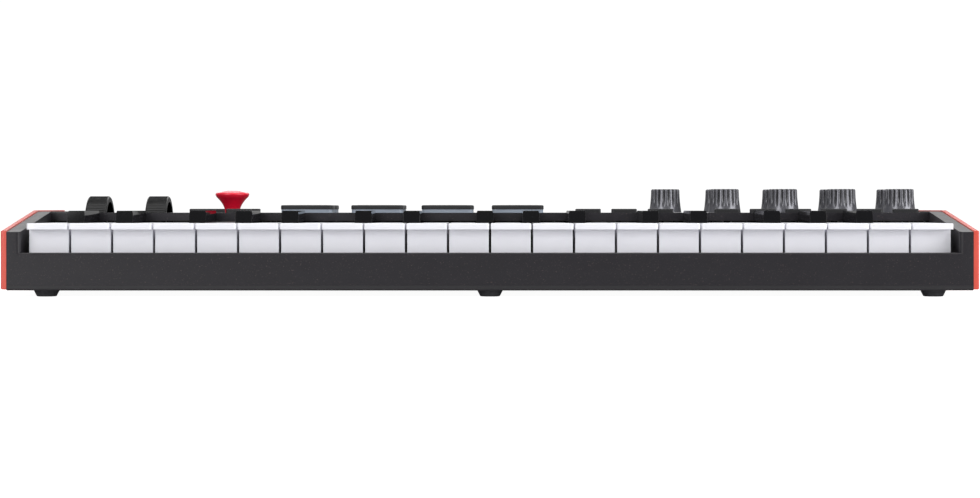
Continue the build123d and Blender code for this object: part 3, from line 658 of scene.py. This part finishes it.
wheelShape = {"ribs": 96, "ribThickness": mm(0.3), "ribLength": mm(10.3), "ribSink": mm(0.1),
              "edge": mm(0.35)}
ribTree = buildRibTree()
for node in ("pitch_wheel", "mod_wheel"):
    a, b = box(node)
    makeShell(node, wheelShape["edge"], "wheel", "wheel")
    ribs = runTree(node + "Ribs", ribTree, {
        "Centre": (a + b) / 2, "Radius": (b.z - a.z) / 2 - wheelShape["ribSink"],
        "Count": wheelShape["ribs"], "Length": wheelShape["ribLength"],
        "Thickness": wheelShape["ribThickness"], "Material": finishes["wheel"]})
    finishPiece(ribs, None, bodyOf[node], "wheel")
print("wheels done")


stickShape = {"stem": mm(4.1), "root": mm(40.0), "flareStart": mm(42.9), "rim": mm(9.4),
              "rimHeight": mm(53.4), "rimRoll": mm(1.1), "rimDrop": mm(0.5), "flareDrop": mm(1.8),
              "crownEnd": 0.75, "dome": mm(12.1), "domeWall": mm(1.1), "domeSweep": 76}


def arcPoints(radius, middle, steps):
    # half of a dome's outline, from its top to its skirt
    spots = []
    for k in steps:
        turn = math.radians(90 - stickShape["domeSweep"] * k / 12)
        spots.append((radius * math.cos(turn), middle + radius * math.sin(turn)))
    return spots


def makeStick():
    hinge = Vector(joints["joystick_side_tilt"]["pos_m"])
    top = box("joystick")[1].z
    centre = Vector((hinge.x, hinge.y, 0))
    stem, rim, rimHeight = stickShape["stem"], stickShape["rim"], stickShape["rimHeight"]
    flareStart, rimRoll = stickShape["flareStart"], stickShape["rimRoll"]
    rimDrop = stickShape["rimDrop"]
    profile = [(0, stickShape["root"]), (stem, stickShape["root"])]
    for k in range(13):  # the flare under the cap
        t = k / 12
        radius = stem + (rim - stem - rimDrop) * t ** 2.0
        profile.append((radius, flareStart + (rimHeight - stickShape["flareDrop"] - flareStart) * t))
    for k in range(1, 9):  # the rolled rim
        turn = math.radians(-35 + 125 * k / 8)
        profile.append((rim - rimRoll + rimRoll * math.cos(turn),
                        rimHeight - rimDrop + rimRoll * math.sin(turn)))
    shoulderRadius, shoulderHeight = profile[-1]
    for k in range(1, 13):  # a low crown, steepest half way in
        t = k / 12
        lift = 0.5 - 0.5 * math.cos(math.pi * min(1.0, t / stickShape["crownEnd"]))
        profile.append((shoulderRadius * (1 - t), shoulderHeight + (top - shoulderHeight) * lift))
    cap = lathe("stickCap", profile, centre)
    dome = stickShape["dome"]
    inner = dome - stickShape["domeWall"]
    domeProfile = [(0, hinge.z + dome), *arcPoints(dome, hinge.z, range(1, 13)),
                   *arcPoints(inner, hinge.z, range(12, 0, -1)), (0, hinge.z + inner)]
    cover = lathe("stickDome", list(reversed(domeProfile)), centre)
    finishPiece(cap, finishes["stick"], "joystick", "joystick", "joystick")
    finishPiece(cover, finishes["gimbal"], "joystick", "gimbal")


makeStick()
makeShell("joystick_gimbal", mm(0.3), "gimbal", "gimbal")
print("joystick done")


padShape = {"size": mm(28.4), "pitchX": mm(38.5), "pitchY": mm(33.0), "columns": 4, "rows": 2,
            "capHeight": mm(2.4), "corner": mm(2.2), "margin": mm(2.4), "edge": mm(0.7),
            "crown": mm(0.1), "skirtInset": mm(0.5), "skirtBottom": mm(38.4), "skirtOverlap": mm(0.05),
            "skirtEdge": mm(0.1), "mat": mm(2.0), "matTop": mm(40.3), "matCorner": mm(2.0),
            "matEdge": mm(0.2), "buttonEdge": mm(0.3)}


def makePads():
    a, b = box("drum_pads")
    size, margin, corner = padShape["size"], padShape["margin"], padShape["corner"]
    skirtSize = size - padShape["skirtInset"]
    capBottom = b.z - padShape["capHeight"]
    caps, skirts = [], []
    for row in range(padShape["rows"]):
        for column in range(padShape["columns"]):
            x = a.x + margin + size / 2 + padShape["pitchX"] * column
            y = b.y - margin - size / 2 - padShape["pitchY"] * row
            spot = Vector((x, y, 0))
            caps.append(roundedPrism("cap", spot, size, size, capBottom, b.z - padShape["crown"],
                                     corner, padShape["edge"], crown=padShape["crown"]))
            skirts.append(roundedPrism("skirt", spot, skirtSize, skirtSize, padShape["skirtBottom"],
                                       capBottom + padShape["skirtOverlap"], corner,
                                       padShape["skirtEdge"], rings=1))
    cap, skirt = joined("padCaps", caps), joined("padSkirts", skirts)
    shade(cap.data, 40.0)
    shade(skirt.data, 40.0)
    finishPiece(cap, finishes["pad"], "drum_pads", "pad", "drum_pads")
    finishPiece(skirt, finishes["skirt"], "drum_pads", "pad")
    spot = Vector(((a.x + b.x) / 2, (a.y + b.y) / 2, 0))
    mat = roundedPrism("padMat", spot, b.x - a.x, b.y - a.y, padShape["matTop"] - padShape["mat"],
                       padShape["matTop"], padShape["matCorner"], padShape["matEdge"], rings=1)
    finishPiece(mat, finishes["pad"], "drum_pads", "pad")


makePads()
makeShell("panel_buttons", padShape["buttonEdge"], "button", "button", segments=3)
print("pads and buttons done")


innerShape = {"edge": mm(0.12), "socketEdge": mm(0.15)}


def boardFinish(a, b):
    size = b - a
    if size.y < mm(17):
        return "felt" if size.z > mm(2) and size.x > mm(100) else "metal"
    if size.x < mm(60):
        return "glass"
    return "board"


def frameFinish(a, b):
    size = b - a
    if size.z < mm(4) and size.y < mm(4):
        return "metal"
    return "felt" if size.z < mm(2) else "frame"


for node, choose, slot in (("key_chassis", frameFinish, "frame"),
                           ("circuit_board", boardFinish, "board")):
    made = paintIslands(softened(node, innerShape["edge"], segments=1), choose)
    finishPiece(made, None, root, slot, node)
makeShell("rear_sockets", innerShape["socketEdge"], "socket", "socket")


def boxMesh(name, a, b, edge):
    size = b - a
    centre = (a + b) / 2
    shape = bmesh.new()
    bmesh.ops.create_cube(shape, size=1.0)
    for vertex in shape.verts:
        vertex.co = vertex.co * size + centre
    bmesh.ops.bevel(shape, geom=shape.edges[:], offset=edge, segments=2, affect="EDGES")
    mesh = bpy.data.meshes.new(name)
    shape.to_mesh(mesh)
    shape.free()
    shade(mesh, 40.0)
    return newObject(name, mesh)


def turnedRing(name, profile, centre, steps=40):
    # a closed ring about a line along Y, from (radius, depth) points
    points, faces = [], []
    count = len(profile)
    for i in range(steps):
        turn = 2 * math.pi * i / steps
        for radius, along in profile:
            points.append(centre + Vector((radius * math.cos(turn), along, radius * math.sin(turn))))
    for i in range(steps):
        for k in range(count):
            a, b = i * count + k, i * count + (k + 1) % count
            c, d = ((i + 1) % steps) * count + (k + 1) % count, ((i + 1) % steps) * count + k
            faces.append((a, b, c, d))
    return meshObject(name, points, faces, 30.0)


display = {"insetFromBed": mm(174.0), "behindWall": mm(42.0), "width": mm(36.4), "depth": mm(18.4),
           "bars": 9, "barWidth": mm(1.9), "barDepth": mm(0.06), "sink": mm(0.12), "edge": mm(0.02)}
bedHalf = high[0] - mm(10.0)
panelFront = low[1] + mm(92.0)


def makeDisplay():
    x, y = bedHalf - display["insetFromBed"], panelFront + display["behindWall"]
    top = panelTop - display["sink"]
    bars = []
    for i in range(display["bars"]):
        level = 0.25 + 0.7 * math.sin(math.pi * (i + 0.5) / display["bars"])
        left = x - display["width"] * 0.38 + display["width"] * 0.76 * i / display["bars"]
        front = y - display["depth"] * 0.3
        back = front + display["depth"] * 0.6 * level
        bars.append(boxMesh("bar", Vector((left, front, top - display["barDepth"])),
                            Vector((left + display["barWidth"], back, top)), display["edge"]))
    finishPiece(joined("displayBars", bars), finishes["glow"], root, "board")


collar = {"width": mm(0.9), "depth": mm(3), "sink": mm(0.05), "shoulder": mm(0.25), "mouth": mm(0.3),
          "chamfer": mm(0.2)}
tongue = {"halfWidth": mm(2.8), "halfHeight": mm(1.6), "behind": mm(0.1), "sink": mm(1.6),
          "edge": mm(0.25)}


def makeSocketDetails():
    # a nickel ring round each jack's mouth, and the contact tongue inside the square port
    rings = []
    for mount in record["mounts"]:
        if "jack" not in mount["name"]:
            continue
        inner = mm(mount["dims"]["r_mm"])
        outer = inner + collar["width"]
        centre = Vector((mount["pos_m"][0], high[1], mount["pos_m"][2]))
        profile = [(inner, -collar["depth"]), (outer, -collar["depth"]), (outer, -collar["shoulder"]),
                   (outer - collar["chamfer"], -collar["sink"]),
                   (inner + collar["chamfer"], -collar["sink"]), (inner, -collar["mouth"])]
        rings.append(turnedRing("ring", profile, centre))
    made = joined("jackRings", rings)
    shade(made.data, 30.0)
    finishPiece(made, finishes["metal"], root, "socket")
    a, b = (Vector(corner) for corner in record["physics"]["openings"][0]["box_m"])
    centre = (a + b) / 2
    reach = Vector((tongue["halfWidth"], 0, tongue["halfHeight"]))
    inside, outside = centre - reach, centre + reach
    inside.y, outside.y = a.y - tongue["behind"], high[1] - tongue["sink"]
    made = boxMesh("portTongue", inside, outside, tongue["edge"])
    finishPiece(made, finishes["mark"], root, "socket")


makeDisplay()
makeSocketDetails()


ticks = {"gap": mm(2.0), "count": 11, "length": mm(1.3), "width": mm(0.35), "thickness": 0.00004,
         "lift": mm(0.02), "start": math.radians(-50), "sweep": math.radians(280)}


def buildTickTree():
    # short marks on an arc round a knob, each pointing at its middle
    names = [("Centre", "vector"), ("Radius", "float"), ("Count", "int"), ("Length", "float"),
             ("Width", "float"), ("Material", "material")]
    tree, start, end = repeatTree("knobTicks", names)
    value = start.outputs
    arc = tree.nodes.new("GeometryNodeCurveArc")
    arc.inputs["Resolution"].default_value = 64
    arc.inputs["Start Angle"].default_value = ticks["start"]
    arc.inputs["Sweep Angle"].default_value = ticks["sweep"]
    tree.links.new(value["Radius"], arc.inputs["Radius"])
    spots = tree.nodes.new("GeometryNodeCurveToPoints")
    tree.links.new(arc.outputs["Curve"], spots.inputs["Curve"])
    tree.links.new(value["Count"], spots.inputs["Count"])
    size = combine(tree, value["Length"], value["Width"], ticks["thickness"])
    bar = tree.nodes.new("GeometryNodeMeshCube")
    tree.links.new(size, bar.inputs["Size"])
    aim = tree.nodes.new("FunctionNodeAlignRotationToVector")
    aim.axis = "X"
    tree.links.new(tree.nodes.new("GeometryNodeInputPosition").outputs[0], aim.inputs["Vector"])
    spread = tree.nodes.new("GeometryNodeInstanceOnPoints")
    tree.links.new(spots.outputs["Points"], spread.inputs["Points"])
    tree.links.new(bar.outputs["Mesh"], spread.inputs["Instance"])
    tree.links.new(aim.outputs[0], spread.inputs["Rotation"])
    move = tree.nodes.new("GeometryNodeTransform")
    tree.links.new(spread.outputs[0], move.inputs["Geometry"])
    tree.links.new(value["Centre"], move.inputs["Translation"])
    paintedEnd(tree, move.outputs[0], value["Material"], end)
    return tree


tickTree = buildTickTree()
for node in sorted(nodes):
    if node.startswith("knob"):
        a, b = box(node)
        spot = Vector(((a.x + b.x) / 2, (a.y + b.y) / 2, panelTop + ticks["lift"]))
        made = runTree(node + "Ticks", tickTree, {
            "Centre": spot, "Radius": (b.x - a.x) / 2 + ticks["gap"], "Count": ticks["count"],
            "Length": ticks["length"], "Width": ticks["width"], "Material": finishes["mark"]})
        finishPiece(made, None, root, "casing")
print("display, sockets and marks done")


studio = {"distance": 1.300, "eyeHeight": 0.0454, "lens": 93.9, "shift": -0.0418, "key": 11.0,
          "left": 11.0, "right": 13.0, "back": 10.0, "world": 0.3, "seenWorld": 1.05,
          "floorGlow": 0.96, "floor": 6.0}


def softbox(name, place, target, width, height, power):
    data = bpy.data.lights.new(name, "AREA")
    data.shape = "RECTANGLE"
    data.size, data.size_y = width, height
    data.energy = power
    lamp = bpy.data.objects.new(name, data)
    lamp.location = place
    lamp.rotation_euler = (Vector(target) - Vector(place)).to_track_quat("-Z", "Y").to_euler()
    scene.collection.objects.link(lamp)


def paleFloor():
    size = studio["floor"]
    corners = [(-size, -size, 0), (size, -size, 0), (size, size, 0), (-size, size, 0)]
    floor = meshObject("floor", corners, [(0, 1, 2, 3)])
    made = bpy.data.materials.new("paleFloor")
    made.use_nodes = True
    tree = made.node_tree
    shader = tree.nodes["Principled BSDF"]
    shader.inputs["Base Color"].default_value = (0.6, 0.6, 0.61, 1)
    shader.inputs["Roughness"].default_value = 0.9
    shader.inputs["Specular IOR Level"].default_value = 0.0
    shader.inputs["Emission Color"].default_value = (1, 1, 1, 1)
    seen = tree.nodes.new("ShaderNodeLightPath").outputs["Is Camera Ray"]
    glow = mathNode(tree, "MULTIPLY", seen, studio["floorGlow"])
    tree.links.new(glow, shader.inputs["Emission Strength"])
    floor.data.materials.append(made)


def whiteWorld():
    world = bpy.data.worlds.new("studio")
    scene.world = world
    world.use_nodes = True
    tree = world.node_tree
    back = tree.nodes["Background"]
    back.inputs["Color"].default_value = (1, 1, 1, 1)
    seen = tree.nodes.new("ShaderNodeLightPath").outputs["Is Camera Ray"]
    strength = mathNode(tree, "MULTIPLY_ADD", seen, studio["seenWorld"] - studio["world"],
                        studio["world"])
    tree.links.new(strength, back.inputs["Strength"])


def makeCamera():
    data = bpy.data.cameras.new("camera")
    data.lens = studio["lens"]
    data.sensor_width = 36.0
    data.shift_y = studio["shift"]
    data.clip_end = 50.0
    camera = bpy.data.objects.new("camera", data)
    camera.location = ((low[0] + high[0]) / 2, low[1] - studio["distance"], studio["eyeHeight"])
    camera.rotation_euler = (math.pi / 2, 0, 0)
    scene.collection.objects.link(camera)
    scene.camera = camera


softbox("overhead", (0, -0.1, 1.1), (0, 0, 0), 1.6, 0.8, studio["key"])
softbox("leftBox", (-0.95, -1.45, 0.45), (0, 0, 0.03), 0.9, 0.9, studio["left"])
softbox("rightBox", (1.25, -0.7, 0.3), (0, 0, 0.045), 1.0, 0.8, studio["right"])
softbox("backBox", (0, 1.2, 0.8), (0, 0, 0.04), 2.4, 0.6, studio["back"])
paleFloor()
whiteWorld()
makeCamera()
scene.view_settings.view_transform = "Standard"
print("studio done")
